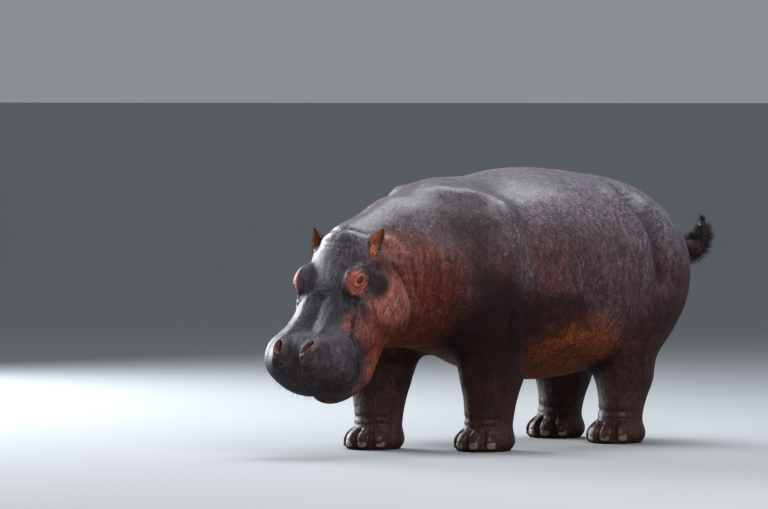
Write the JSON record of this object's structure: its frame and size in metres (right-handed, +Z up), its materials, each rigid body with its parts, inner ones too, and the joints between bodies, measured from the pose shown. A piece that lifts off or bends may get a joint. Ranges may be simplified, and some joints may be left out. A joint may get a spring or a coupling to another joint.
{
  "type": "hippopotamus",
  "caption": "Life-size hippopotamus standing with its head lowered, as a still whole-animal model with closed mouth, small ears and a bristly tail.",
  "frame": {"origin": "on the ground, under the middle of the animal's bounding box", "axes": "+X towards the head, +Y to the animal's left, +Z up"},
  "size_m": [3.2922, 1.257, 1.4848],
  "materials": {
    "hide": "wet bare skin, grey-mauve on the back, red-brown on the neck and flanks, orange-brown on the cheeks and belly, finely creased",
    "ear_skin": "thin pinkish brown skin",
    "eye": "wet dark brown eyeball",
    "nail": "worn grey-brown horn",
    "bristle": "stiff dark bristles on the muzzle, in the ears and along the tail"
  },
  "bodies": {
    "root": {"trunk": "hide", "neck": "hide", "head": "hide", "jaw": "hide", "tail": "hide", "leg_front_left": "hide", "foot_front_left": "hide", "leg_front_right": "hide", "foot_front_right": "hide", "leg_hind_left": "hide", "foot_hind_left": "hide", "leg_hind_right": "hide", "foot_hind_right": "hide", "ear_left": "ear_skin", "ear_right": "ear_skin", "eye_left": "eye", "eye_right": "eye", "nail_front_left_1": "nail", "nail_front_left_2": "nail", "nail_front_left_3": "nail", "nail_front_left_4": "nail", "nail_front_right_1": "nail", "nail_front_right_2": "nail", "nail_front_right_3": "nail", "nail_front_right_4": "nail", "nail_hind_left_1": "nail", "nail_hind_left_2": "nail", "nail_hind_left_3": "nail", "nail_hind_left_4": "nail", "nail_hind_right_1": "nail", "nail_hind_right_2": "nail", "nail_hind_right_3": "nail", "nail_hind_right_4": "nail"}
  },
  "joints": []
}
